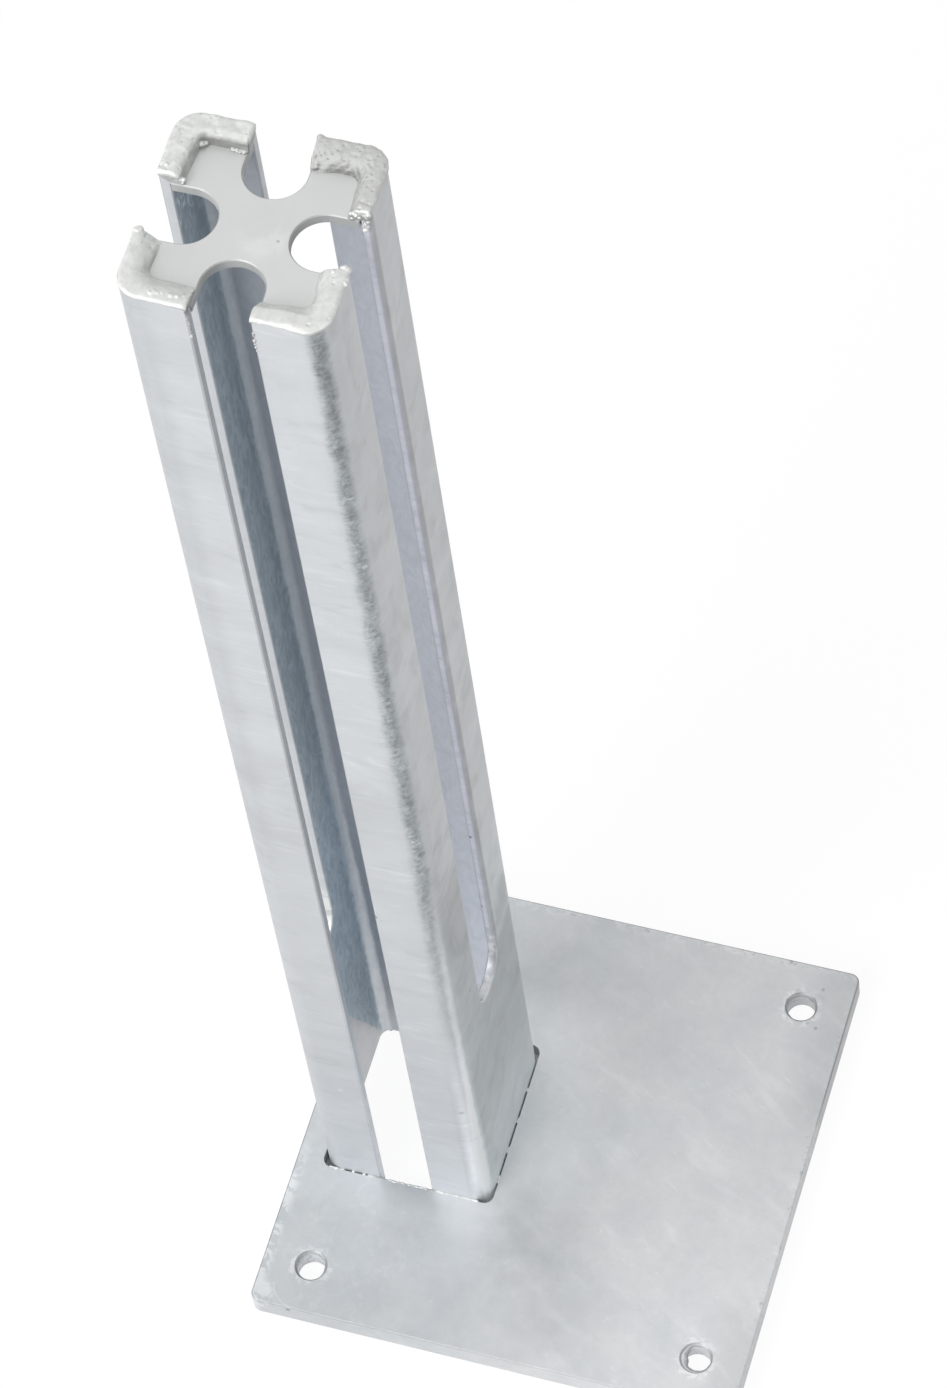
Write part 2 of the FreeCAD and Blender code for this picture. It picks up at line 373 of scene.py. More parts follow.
def inner_colour(zinc, x, y, z, angle):
    """Painted shade inside the post in dull blue-grey, with painted light low down, on the right flange and
    in a slanted patch low on the left web, and a ragged painted highlight along each inner bend.
    """
    smears = zinc.noise(zinc.millimetres((1, 1, 3)), 3.5, 6, 0.65, 1.8)
    web = zinc.mix(zinc.ramp(smears, 0.38, 0.62), shaded_inner_web_dark, shaded_inner_web_clear)
    # Painted light on the lower inside, easing to painted shade higher up
    web = zinc.tint(web, zinc.product(zinc.ramp(z, 30, 90, 1.12, 1.36), zinc.ramp(z, 120, 210, 1.0, 0.735)))
    # Painted light low on the left web, with a slanted edge
    slant = zinc.math("ADD", z, zinc.product(y, 2.43))
    lit_left_foot = zinc.product(zinc.ramp(slant, 58, 60, 1, 0), zinc.ramp(x, -5, -10))
    web = zinc.mix(lit_left_foot, web, inner_foot_light_colour)
    under_head = zinc.product(zinc.ramp(z, rim_height - 35, rim_height - 15), zinc.ramp(smears, 0.5, 0.66))
    web = zinc.tint(web, zinc.fade(under_head, 1.5))
    # Painted shade on the left flange and painted light on the right one
    flange = zinc.mix(zinc.ramp(x, -12, 12), shaded_inner_flange_left, lit_inner_flange_right)
    wide = zinc.ramp(z, 70, 190, 22, 0)
    past_start = zinc.ramp(angle, 20, 34)
    past_end = zinc.ramp(zinc.math("SUBTRACT", angle, wide), 52, 66)
    # Painted highlight along each inner bend
    bend_stripe_highlight = zinc.mix(zinc.ramp(z, 60, 300), inner_bend_highlight_low, inner_bend_highlight_high)
    colour = zinc.mix(past_end, zinc.mix(past_start, web, bend_stripe_highlight), flange)
    return zinc.tint(colour, zinc.sway(smears, 0.07))


def cut_tone(zinc, x, y, across, cut, mottle):
    """Tone of the right slot's back edge: a broken painted highlight along it, and painted shade outside
    that.
    """
    right_edge = zinc.product(cut, zinc.ramp(x, -5, 5), zinc.ramp(y, 0, 5))
    broken = zinc.ramp(mottle, 0.34, 0.50, 0.3, 1)
    cut_edge_highlight = zinc.product(right_edge, zinc.band(across, web_out - 2.5, web_out - 1.3, 0.6), broken)
    cut_edge_shade = zinc.product(right_edge, zinc.ramp(across, web_out - 1.3, web_out - 0.6))
    return zinc.product(zinc.fade(cut_edge_highlight, 1.24), zinc.fade(cut_edge_shade, 0.84))


def outer_colour(zinc, x, z, across, rough_bend, cut, mottle):
    """Colour of the outside: bluer on the rough bends, lilac in the slots, and a near-white painted highlight
    at each slot's foot.
    """
    web = zinc.mix(zinc.ramp(z, 200, 100), web_colour_high, web_colour_low)
    outside = zinc.mix(zinc.ramp(across, web_out - 1.5, web_out), flange_colour, web)
    outside = zinc.mix(rough_bend, outside, bend_colour)
    outside = zinc.mix(cut, outside, zinc.mix(zinc.ramp(x, -5, 5), cut_colour_left, cut_colour_right))
    # Painted highlight in patches on each slot's foot
    near_foot = zinc.ramp(z, slot_foot + 24, slot_foot + 12)
    cut_foot_highlight = zinc.product(cut, near_foot, zinc.ramp(mottle, 0.40, 0.52))
    return zinc.mix(cut_foot_highlight, outside, slot_foot_highlight_colour)


# Small round marks: the centre and radius in millimetres, X and Y from the post's axis, and the tone's factor
sheet_marks_and_glints = (
    ((8.1, -27, 183.9), 0.8, 0.35),
    ((9.7, -27, 182.3), 0.35, 0.8),
    ((-15, -27, 64.5), 0.9, 1.15),
    ((26.5, 3.3, 184.2), 0.7, 0.6),
    ((26.5, -14.2, 124.5), 0.8, 0.7),
    ((22.5, -26.4, 66.9), 1.1, 0.8),
    ((25.5, -2.1, 113.0), 0.9, 0.55),
    ((25.5, -7.2, 102.5), 1.1, 0.60),
    # The next five, brighter than the sheet, are painted glints on the front right bend.
    ((24.3, -25.3, 405.0), 0.8, 1.45),
    ((24.3, -25.3, 373.0), 1.0, 1.45),
    ((24.0, -25.6, 306.0), 0.8, 1.40),
    ((24.5, -25.2, 230.0), 0.8, 1.40),
    ((23.4, -26.0, 232.0), 0.7, 1.35),
    ((24.8, -24.9, 223.5), 1.6, 0.74),
    ((26.4, -19.5, 218.5), 2.6, 0.91),
    ((26.5, -15.8, 216.5), 2.6, 0.92),
    ((25.2, -24.4, 213.5), 1.4, 0.80),
    ((24.0, 8.5, 173.9), 0.8, 0.45),
    ((23.6, 8.5, 132.6), 0.8, 0.50),
)
plate_marks = (
    ((-22.8, -75.0, 6.5), 0.9, 0.5),
    ((105.0, 67.3, plate_face), 0.7, 0.72),
    ((106.1, 54.0, plate_face), 0.7, 0.72),
    ((103.4, 54.9, plate_face), 0.7, 0.85),
    ((104.6, 64.0, plate_face), 1.8, 0.90),
    ((97.7, 64.6, plate_face), 1.4, 0.86),
    ((95.2, 61.2, plate_face), 1.0, 0.88),
)


def sheet_material():
    """Channels: satin zinc outside with rough, darker bends, and painted shade inside."""
    zinc = new_material("galvanised_sheet_zinc")
    x, y, z = zinc.post_axes()
    across = zinc.math("ABSOLUTE", x)
    along = zinc.math("ABSOLUTE", y)
    mottle = zinc.noise(zinc.millimetres(), 5, 5, 0.6, 0.4)
    dashes = zinc.noise(zinc.millimetres((4, 4, 0.5)), 1, 4, 0.7)
    ragged = zinc.noise(zinc.millimetres((2.5, 2.5, 0.8)), 1.0, 5, 0.7)
    drift = zinc.noise(zinc.millimetres((1, 1, 1.5)), 7, 3, 0.6)
    near = zinc.ramp(ragged, 0.25, 0.75, -5, 5, smooth=False)
    jag = zinc.math("ADD", near, zinc.ramp(drift, 0.3, 0.7, -5, 5, smooth=False))
    angle = bend_angle(zinc, across, along, jag)
    even_angle = bend_angle(zinc, across, along, zinc.ramp(drift, 0.3, 0.7, -3, 3, smooth=False))
    within_webs = zinc.ramp(across, web_out - sheet + 0.02, web_out - sheet + 0.2, 1, 0)
    within_flanges = zinc.ramp(along, flange_out - sheet + 0.05, flange_out - sheet + 0.4, 1, 0)
    rough_bend = bend_band(zinc, x, z, angle)
    in_slot = zinc.ramp(along, slot_edge + 0.4, slot_edge + 0.1)
    in_web = zinc.product(zinc.ramp(across, web_out - 0.1, web_out - 0.5), zinc.ramp(across, 15, 16))
    cut = zinc.product(in_slot, in_web)
    tone = outer_tone(zinc, x, y, z, across, angle, even_angle, dashes)
    tone = zinc.marked(zinc.product(tone, zinc.sway(mottle, 0.015)), sheet_marks_and_glints)
    tone = zinc.product(tone, cut_tone(zinc, x, y, across, cut, mottle))
    outside = zinc.tint(outer_colour(zinc, x, z, across, rough_bend, cut, mottle), tone)
    inside = inner_colour(zinc, x, y, z, angle)
    colour = zinc.mix(zinc.product(within_webs, within_flanges), outside, inside)
    satin = zinc.ramp(mottle, 0.3, 0.7, 0.40, 0.52, smooth=False)
    roughness = zinc.math("ADD", satin, zinc.product(rough_bend, 0.15))
    fine = zinc.bump(mottle, 0.00006, 0.5)
    normal = zinc.bump(zinc.product(dashes, rough_bend), 0.0002, 0.7, fine)
    return zinc.finish(colour, roughness, normal)


def rounded_edge_shade(zinc, x, y):
    """Painted shade that takes the gleam off the narrow edges, all but the front part of the right one."""
    level = zinc.math("ABSOLUTE", zinc.facing()[2])
    spared = zinc.product(zinc.ramp(x, plate_right - 1.6, plate_right - 0.8), zinc.ramp(y, 40, 15))
    edge = zinc.product(zinc.band(level, 0.16, 0.95, 0.08), zinc.fade(spared, 0.15))
    crest = zinc.product(zinc.ramp(level, 0.50, 0.66), zinc.ramp(level, 0.992, 0.975))
    crest = zinc.product(crest, zinc.fade(spared, 0.15))
    return zinc.product(zinc.fade(edge, 0.70), zinc.fade(crest, 0.84))


def edge_chips(zinc, x, y):
    """Tone of the chips along the plate's right edge, and of the whitish dabs there and on the left."""
    dabs = zinc.noise(zinc.millimetres(), 1.7, 4, 0.65)
    right_edge = zinc.ramp(x, plate_right - 2.8, plate_right - 0.4)
    dark = zinc.fade(zinc.product(right_edge, zinc.ramp(dabs, 0.60, 0.67)), 0.72)
    pale = zinc.fade(zinc.product(right_edge, zinc.ramp(dabs, 0.44, 0.36)), 1.10)
    broad = zinc.noise(zinc.millimetres(), 4.0, 5, 0.65, 0.8)
    left_edge = zinc.product(zinc.ramp(x, plate_left + 4.5, plate_left + 1.2), zinc.ramp(y, -12, -35))
    left_dabs = zinc.product(left_edge, zinc.ramp(broad, 0.46, 0.54))
    corner = (-33.6, -72.6, plate_face)
    corner_dabs = zinc.product(zinc.spot(corner, 6.5), zinc.ramp(broad, 0.40, 0.50))
    return zinc.product(dark, pale, zinc.fade(zinc.math("MAXIMUM", left_dabs, corner_dabs), 1.24))


def scratches(zinc, x, y):
    """Tone of the thin pale strokes on the plate: an arc in its left corner, and dashes on its free side."""
    arc = zinc.band(zinc.gap((-21.0, -66.5, plate_face)), 8.0, 8.5, 0.4)
    arc = zinc.product(arc, zinc.ramp(x, -21.5, -22.5), zinc.ramp(y, -67.5, -68.5))
    strokes = zinc.noise(zinc.millimetres((5, 1, 1), turn=33), 1.5, 3, 0.6)
    dashes = zinc.product(zinc.ramp(strokes, 0.66, 0.74), zinc.ramp(x, 10, 40))
    smears = zinc.noise(zinc.millimetres(), 5, 4, 0.6, 1.0)
    pale = zinc.product(zinc.ramp(smears, 0.54, 0.68), zinc.ramp(x, 20, 0), zinc.ramp(y, -15, -25))
    return zinc.product(zinc.fade(arc, 1.12), zinc.fade(dashes, 1.09), zinc.fade(pale, 1.06))


def post_light_and_shadow(zinc, x, y):
    """Painted light and shadow on the plate round the post's foot: painted light beside it and in front, and
    a painted shadow of the post further out to the front right.
    """
    lit_beside = zinc.product(zinc.ramp(x, 56, 27), zinc.ramp(x, 0, 10), zinc.band(y, -15, 42, 22))
    lit_in_front = zinc.product(zinc.band(y, -39, -27, 7), zinc.band(x, -36, 33, 6))
    tone = zinc.product(zinc.fade(lit_beside, 1.25), zinc.fade(lit_in_front, 1.08))
    # Hazes: painted light in front, then a painted shadow of the post to the front right
    for x_place, y_place, radius, factor in ((16, -46, 18, 1.09), (42, -34, 21, 0.88), (53, -56, 24, 0.91)):
        haze = zinc.haze((x_place, y_place, plate_face), radius)
        tone = zinc.product(tone, zinc.fade(haze, factor))
    return tone


def around_holes(zinc, x, y, z):
    """Tone round the anchor holes: pale dabs on the plate, and a blotchy wall inside each hole."""
    centre = (plate_high.x - hole_edge_distance) / MM
    gap_x = zinc.math("SUBTRACT", zinc.math("ABSOLUTE", zinc.math("ADD", x, post_x / MM)), centre)
    gap_y = zinc.math("SUBTRACT", zinc.math("ABSOLUTE", y), centre)
    gap = zinc.math("POWER", zinc.math("ADD", zinc.product(gap_x, gap_x), zinc.product(gap_y, gap_y)), 0.5)
    dabs = zinc.noise(zinc.millimetres(), 2.2, 4, 0.65, 0.6)
    rim = hole_radius / MM
    on_top = zinc.ramp(z, plate_face - 1.0, plate_face - 0.1)
    halo = zinc.product(zinc.band(gap, rim + 0.3, rim + 2.3, 1.6), zinc.ramp(dabs, 0.46, 0.60), on_top)
    in_hole = zinc.ramp(gap, rim + 0.4, rim + 0.1)
    wall = zinc.product(in_hole, zinc.ramp(dabs, 0.40, 0.60, 1, 0), zinc.ramp(x, 60, 20))
    return zinc.product(zinc.fade(halo, 1.18), zinc.fade(wall, 1.28))


def plate_patches(zinc, x, y, z, runs):
    """Tone of the plate's broad patches, from the pale runs on its free side to its duller right end."""
    pale_runs = zinc.product(zinc.ramp(runs, 0.5, 0.72), zinc.ramp(x, 0, 60))
    front_right = zinc.product(zinc.ramp(x, 25, 110), zinc.ramp(y, 10, -60))
    back_left = zinc.product(zinc.ramp(y, 25, 70), zinc.ramp(x, 95, 40))
    ends = zinc.math("MAXIMUM", zinc.ramp(y, -34, -44), zinc.ramp(y, 12, 30))
    right_ends = zinc.product(zinc.ramp(x, plate_right - 18, plate_right - 2), ends)
    front_left = zinc.product(zinc.ramp(y, -56, -66), zinc.ramp(x, 12, 0))
    sides = zinc.ramp(z, plate_face - 0.8, plate_face - 1.2)
    tone = zinc.product(zinc.fade(pale_runs, 1.07), zinc.fade(front_right, 1.17), zinc.fade(back_left, 1.09))
    tone = zinc.product(tone, zinc.fade(right_ends, 0.88), zinc.fade(front_left, 0.94))
    return zinc.product(tone, zinc.fade(zinc.ramp(x, 10, 50), 1.03), zinc.fade(sides, 0.97))


def back_edge(zinc, y):
    """Tone along the plate's back edge: whitish patches and a few dark chips."""
    blotch = zinc.noise(zinc.millimetres(), 3.2, 4, 0.65, 1.0)
    patches = zinc.product(zinc.ramp(y, plate_back - 4.0, plate_back - 1.5), zinc.ramp(blotch, 0.48, 0.56))
    flakes = zinc.noise(zinc.millimetres(), 1.8, 3, 0.6)
    chips = zinc.product(zinc.ramp(y, plate_back - 2.6, plate_back - 0.8), zinc.ramp(flakes, 0.60, 0.66))
    return zinc.product(zinc.fade(patches, 1.10), zinc.fade(chips, 0.72))


def plate_material():
    """Base plate: matt zinc with pale runs, whitish patches at the far edge and a few specks."""
    zinc = new_material("galvanised_plate_zinc")
    x, y, z = zinc.post_axes()
    place = zinc.millimetres()
    cloud = zinc.noise(place, 26, 4, 0.55, 0.6)
    mottle = zinc.noise(place, 4, 5, 0.6, 0.8)
    runs = zinc.noise(zinc.millimetres((3.5, 1, 1), turn=33), 7, 4, 0.55, 0.5)
    fine = zinc.noise(place, 1.1, 3, 0.6)
    tone = zinc.product(zinc.sway(cloud, 0.045), zinc.sway(mottle, 0.03))
    tone = zinc.product(tone, zinc.fade(zinc.ramp(fine, 0.66, 0.72), 1.10))
    tone = zinc.product(tone, zinc.fade(zinc.ramp(fine, 0.30, 0.25), 0.88))
    tone = zinc.product(tone, rounded_edge_shade(zinc, x, y), edge_chips(zinc, x, y), around_holes(zinc, x, y, z))
    tone = zinc.product(tone, scratches(zinc, x, y), post_light_and_shadow(zinc, x, y))
    tone = zinc.product(tone, plate_patches(zinc, x, y, z, runs), back_edge(zinc, y))
    tone = zinc.marked(tone, plate_marks)
    hue = zinc.math("ADD", zinc.ramp(x, -10, 60, 0, 0.6), zinc.ramp(cloud, 0.35, 0.65, 0, 0.4))
    colour = zinc.tint(zinc.mix(hue, plate_colour_left, plate_colour_right), tone)
    roughness = zinc.ramp(runs, 0.3, 0.7, 0.42, 0.56, smooth=False)
    normal = zinc.bump(mottle, 0.00006, 0.4)
    return zinc.finish(colour, roughness, zinc.bump(runs, 0.0002, 0.25, normal))


def head_material():
    """Head plate: pale, even zinc with soft bright patches, and painted shade on its edges."""
    zinc = new_material("galvanised_head_zinc")
    place = zinc.millimetres()
    cloud = zinc.noise(place, 14, 4, 0.55, 0.8)
    mottle = zinc.noise(place, 2.5, 5, 0.6, 0.8)
    tone = zinc.product(zinc.sway(cloud, 0.02), zinc.sway(mottle, 0.012))
    pale = zinc.product(zinc.spot((2.5, -1.0, head_face), 8.0), zinc.ramp(cloud, 0.42, 0.60))
    speck = zinc.spot((6.6, -2.0, head_face), 0.5)
    # Painted shade on the edges, which takes their gleam off
    rim = zinc.ramp(zinc.facing()[2], 0.85, 0.97, 1, 0)
    tone = zinc.product(tone, zinc.fade(pale, 1.07), zinc.fade(speck, 0.7), zinc.fade(rim, 0.68))
    satin = zinc.ramp(mottle, 0.3, 0.7, 0.42, 0.52, smooth=False)
    roughness = zinc.math("ADD", satin, zinc.product(rim, 0.15))
    return zinc.finish(zinc.tint(head_colour, tone), roughness, zinc.bump(cloud, 0.0003, 0.3))


def weld_material():
    """Beads and drips: pale, pitted zinc, with painted shade in hollows, on the steep feet of the head's
    beads, on slopes and rims that face the front, and on the back right bead.
    """
    zinc = new_material("galvanised_weld_zinc")
    place = zinc.millimetres()
    x, y, z = zinc.post_axes()
    across = zinc.math("ABSOLUTE", x)
    mottle = zinc.noise(place, 1.8, 5, 0.6, 0.8)
    grain = zinc.noise(place, 0.5, 4, 0.6)
    facing = zinc.facing()
    at_head = zinc.ramp(z, rim_height - 10, rim_height - 6)
    on_slope = zinc.band(z, rim_height - 4.4, rim_height - 1.6, 1.2)
    # Painted shade on the steep feet, on slopes and rims facing the front, and on the back right bead
    steep_shade = zinc.product(zinc.ramp(facing[2], 0.15, 0.80, 1, 0), on_slope)
    front_facing_shade = zinc.product(zinc.ramp(facing[1], -0.15, -0.80), zinc.ramp(y, 11, 14))
    over_flange = zinc.ramp(y, 5.0 - flange_out, 2.5 - flange_out)
    front_rim_shade = zinc.product(zinc.ramp(facing[1], -0.30, -0.80), over_flange, at_head)
    back_right = zinc.product(zinc.ramp(x, 0, 6), zinc.ramp(y, 0, 6), at_head)
    on_burrs = zinc.product(zinc.band(across, 6.5, 9.5, 1), zinc.ramp(y, 2.0 - flange_out, 1.2 - flange_out))
    burrs = zinc.product(on_burrs, zinc.ramp(z, rim_height - 1.0, rim_height - 2.4))
    # Painted shade in hollows and paler lumps, from the surface's pointiness
    hollow_shade = zinc.node("ShaderNodeNewGeometry").outputs["Pointiness"]
    tone = zinc.product(zinc.sway(mottle, 0.05), zinc.ramp(hollow_shade, 0.42, 0.58, 0.86, 1.06, smooth=False))
    tone = zinc.product(tone, 1.10, zinc.fade(burrs, 0.66), zinc.fade(steep_shade, 0.60), zinc.fade(front_facing_shade, 0.52))
    tone = zinc.product(tone, zinc.fade(back_right, 0.80), zinc.fade(front_rim_shade, 0.80))
    colour = zinc.tint(zinc.mix(zinc.ramp(mottle, 0.4, 0.6), weld_colour_grey, weld_colour_pale), tone)
    roughness = zinc.ramp(mottle, 0.3, 0.7, 0.52, 0.64, smooth=False)
    return zinc.finish(colour, roughness, zinc.bump(grain, 0.00006, 0.4))


sheet_zinc = sheet_material()
plate_zinc = plate_material()
head_zinc = head_material()
weld_zinc = weld_material()

node_finishes = {
    "base_plate": plate_zinc,
    "head_plate": head_zinc,
    "left_channel": sheet_zinc,
    "right_channel": sheet_zinc,
}


def dress_node(name, material):
    """Gives a CAD node its finish."""
    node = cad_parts[name]
    node.data.materials.clear()
    node.data.materials.append(material)


for node_name, node_material in node_finishes.items():
    dress_node(node_name, node_material)


def post_point(x, y, z):
    """Point from millimetres, X and Y measured from the post's axis."""
    return Vector((post_x + x * MM, y * MM, z * MM))


def add_blob(mesh, centre, radius):
    """A small ball in a bmesh."""
    bmesh.ops.create_icosphere(mesh, subdivisions=2, radius=radius, matrix=Matrix.Translation(centre))


def scatter(mesh, rng, start, end, count, radii, spread):
    """Blobs strewn along a line, in millimetres from the post's axis."""
    for index in range(count):
        share = (index + rng.random()) / count
        point = [a + (b - a) * share + rng.uniform(-spread, spread) for a, b in zip(start, end)]
        add_blob(mesh, post_point(*point), rng.uniform(*radii) * MM)


def melted(name, mesh, voxel):
    """An object from a bmesh whose overlapping parts are melted into one closed skin."""
    data = bpy.data.meshes.new(name + "_raw")
    mesh.to_mesh(data)
    mesh.free()
    raw = bpy.data.objects.new(name + "_raw", data)
    bpy.context.scene.collection.objects.link(raw)
    remesh = raw.modifiers.new("melt", "REMESH")
    remesh.mode = "VOXEL"
    remesh.voxel_size = voxel
    view = bpy.context.evaluated_depsgraph_get()
    skin = bpy.data.meshes.new_from_object(raw.evaluated_get(view))
    bpy.data.objects.remove(raw)
    bpy.data.meshes.remove(data)
    skin.name = name
    piece = bpy.data.objects.new(name, skin)
    bpy.context.scene.collection.objects.link(piece)
    return piece


def roughen(piece, layers, seed, highest, lowest=-1.0):
    """Moves each point along its normal by layers of noise (wavelength, height), within two levels."""
    offset = Vector((seed * 17.3, seed * 5.1, seed * 9.7))
    points = [vertex.co.copy() for vertex in piece.data.vertices]
    normals = [vertex.normal.copy() for vertex in piece.data.vertices]
    for vertex, point, normal in zip(piece.data.vertices, points, normals):
        move = 0.0
        for wavelength, height in layers:
            move += height * noise.noise(point / wavelength + offset)
        vertex.co = point + normal * move
        vertex.co.z = max(lowest, min(vertex.co.z, highest))
    piece.data.update()


def pit(piece, rng, count, radii, depth):
    """Presses small round pits into the upward sides of a piece."""
    tops = [vertex.co.copy() for vertex in piece.data.vertices if vertex.normal.z > 0.6]
    pits = [(rng.choice(tops), rng.uniform(*radii) * MM) for _ in range(count)]
    for vertex in piece.data.vertices:
        for centre, radius in pits:
            gap = (vertex.co - centre).length
            if gap < radius:
                vertex.co.z -= depth * MM * (1 - gap / radius)
    piece.data.update()


def settle(piece, material):
    """Smooth shading, finish and body of a new piece."""
    for polygon in piece.data.polygons:
        polygon.use_smooth = True
    piece.data.materials.clear()
    piece.data.materials.append(material)
    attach(piece, "root")


def join_rings(mesh, rings):
    """Faces from each ring of points to the next one."""
    for ring, following in zip(rings, rings[1:]):
        for index in range(len(ring)):
            after = (index + 1) % len(ring)
            mesh.faces.new((ring[index], ring[after], following[after], following[index]))


def between(keys, place):
    """Value at a place between pairs of (place, value), eased from one pair to the next."""
    for (start, first), (end, second) in zip(keys, keys[1:]):
        if place <= end:
            share = max(0.0, (place - start) / (end - start))
            share = share * share * (3 - 2 * share)
            return first + (second - first) * share
    return keys[-1][1]


# How each corner's bead runs. Places go from 0 at the seam gap, to 1 and 2 at the ends of the bend,
# and to 3 at the slot. Foot and crest are insets from the outer faces, swell is the slope's exponent,
# lap is how far the bead stands over the outer face, and drop how far its rim lies below the top.
bead_shapes = {
    (-1, -1): {
        "foot": ((0, 8.1), (1, 8.2), (2, 6.2), (3, 6.4)),
        "crest": ((0, 1.6), (1, 1.4), (2, 1.4), (3, 0.9)),
        "swell": ((0, 1.7), (1, 2.4), (2.4, 2.6), (2.8, 1.7), (3, 1.25)),
        "lap": ((0, 0.25), (0.8, 0.15), (1.3, 0.05), (3, 0.08)),
        "drop": ((0, 0.5), (0.7, 0.3), (3, 0.2)),
        "foot_radius": 4.0,
    },
    (1, -1): {
        "foot": ((0, 7.7), (1, 8.3), (2, 7.0), (3, 7.6)),
        "crest": ((0, 3.8), (1, 4.2), (1.6, 3.0), (2.2, 2.4), (3, 2.2)),
        "swell": ((0, 1.1), (1, 1.2), (2, 2.0), (3, 2.2)),
        "lap": ((0, 0.07), (0.5, 0.1), (1, 0.45), (1.8, 0.3), (3, 0.08)),
        "drop": ((0, 0.2), (3, 0.25)),
        "foot_radius": 3.6,
    },
    (-1, 1): {
        "foot": ((0, 6.6), (1, 6.3), (2, 6.9), (3, 6.3)),
        "crest": ((0, 3.0), (1, 3.4), (2, 3.2), (3, 2.8)),
        "swell": ((0, 3.6), (1, 4.6), (2, 4.6), (3, 3.0)),
        "lap": ((0, 0.06), (3, 0.06)),
        "drop": ((0, 0.25), (3, 0.25)),
        "foot_radius": 2.4,
    },
    (1, 1): {
        "foot": ((0, 8.3), (1, 7.1), (2, 6.6), (3, 6.0)),
        "crest": ((0, 2.4), (1, 2.6), (2, 2.4), (3, 2.4)),
        "swell": ((0, 1.9), (1, 3.0), (2, 2.4), (3, 2.0)),
        "lap": ((0, 0.08), (1.2, 0.2), (2, 0.3), (3, 0.2)),
        "drop": ((0, 0.35), (3, 0.35)),
        "foot_radius": 3.0,
    },
}

# Drips and lumps at each bead: start and end in millimetres from the post's axis, how many,
# smallest and largest radius, and how far they stray.
bead_drips = {
    (-1, -1): (
        ((-17.5, -26.2, 479.1), (-9.0, -26.3, 478.9), 9, (0.5, 0.9), 0.25),
        ((-18.0, -25.0, 479.2), (-9.0, -24.2, 478.9), 8, (0.5, 0.9), 0.3),
        ((-8.7, -26.4, 478.8), (-8.5, -20.0, 476.9), 12, (0.5, 0.8), 0.35),
        ((-8.2, -26.6, 478.5), (-8.2, -26.3, 466.5), 24, (0.3, 0.65), 0.22),
        ((-25.9, -8.9, 479.1), (-24.8, -8.4, 479.1), 4, (0.8, 0.95), 0.1),
    ),
    (1, -1): (
        ((26.0, -8.8, 479.0), (20.6, -9.0, 477.0), 15, (0.45, 0.85), 0.45),
        ((26.4, -8.0, 478.9), (24.0, -7.4, 478.7), 4, (0.8, 1.05), 0.25),
        ((25.0, -11.5, 479.3), (22.5, -9.5, 478.9), 7, (0.4, 0.7), 0.5),
        ((26.6, -12.5, 479.1), (26.6, -9.5, 479.0), 5, (0.45, 0.7), 0.2),
        ((8.2, -26.9, 474.5), (8.2, -26.9, 466.5), 7, (0.25, 0.45), 0.12),
    ),
    (-1, 1): (
        ((-25.8, 9.0, 478.9), (-20.2, 8.9, 476.5), 18, (0.55, 0.95), 0.35),
        ((-24.6, 10.8, 479.4), (-21.5, 12.4, 478.9), 6, (0.4, 0.6), 0.5),
        ((-19.8, 19.6, 476.3), (-18.3, 20.6, 476.3), 4, (0.7, 1.0), 0.2),
        ((-12.5, 20.4, 476.0), (-8.8, 20.2, 476.0), 5, (0.35, 0.5), 0.1),
        ((-9.2, 26.2, 479.2), (-8.6, 21.5, 478.2), 8, (0.4, 0.7), 0.3),
    ),
    (1, 1): (
        ((25.9, 8.7, 478.4), (21.2, 8.8, 477.4), 13, (0.6, 0.9), 0.35),
        ((25.8, 8.6, 477.2), (21.6, 8.7, 476.0), 12, (0.7, 1.0), 0.3),
        ((26.1, 8.6, 478.4), (24.8, 8.2, 472.4), 18, (0.55, 0.95), 0.4),
        ((8.6, 26.4, 479.1), (8.7, 26.3, 479.0), 2, (0.8, 0.95), 0.1),
        ((8.9, 25.0, 479.0), (9.6, 19.5, 476.6), 14, (0.4, 0.75), 0.45),
    ),
}

# Noise on each bead, as wavelength and height in millimetres, and how many pits it has
bead_skins = {
    (-1, -1): (((5.0, 0.30), (2.0, 0.10)), 6),
    (1, -1): (((5.0, 0.28), (2.0, 0.10)), 6),
    (-1, 1): (((4.0, 0.30), (1.6, 0.12)), 22),
    (1, 1): (((3.5, 0.32), (1.4, 0.15), (0.7, 0.06)), 40),
}


def corner_point(side_x, side_y, place, inset, radius):
    """Point on the rounded line that runs inset inside the post's outer faces, round one corner."""
    reach_x = post_half_length - inset
    reach_y = post_half_width - inset
    if place < 1:
        x = seam_half_gap + (reach_x - radius - seam_half_gap) * place
        y = reach_y
    elif place < 2:
        angle = (place - 1) * math.pi / 2
        x = reach_x - radius + radius * math.sin(angle)
        y = reach_y - radius + radius * math.cos(angle)
    else:
        x = reach_x
        y = reach_y - radius + (slot_half_width - reach_y + radius) * (place - 2)
    return post_x + side_x * x, side_y * y


def bead_section(shape, place):
    """Outline of a bead at one place, as pairs of (inset, height above the head plate) in metres.

    It goes up the lap over the outer face, across the rim, down the slope to the foot, and back below.
    """
    foot = between(shape["foot"], place) * MM
    crest = between(shape["crest"], place) * MM
    swell = between(shape["swell"], place)
    lap = between(shape["lap"], place) * MM
    rim = post_top - head_top - between(shape["drop"], place) * MM
    past_end = max(0.0, -place, place - 3.0)
    rim -= past_end * 18 * MM
    outline = [(1.2 * MM, rim - 2.2 * MM), (-lap, rim - 1.1 * MM - lap), (-lap, rim - 0.5 * MM)]
    outline += [(0.35 * MM, rim - 0.12 * MM), (0.9 * MM, rim)]
    steps = 9
    for index in range(steps + 1):
        share = index / steps
        outline.append((crest + (foot - crest) * share, rim * (1 - share ** swell)))
    root = -0.7 * MM
    return outline + [(foot - 0.5 * MM, root), (sheet_thickness + 0.4 * MM, root)]


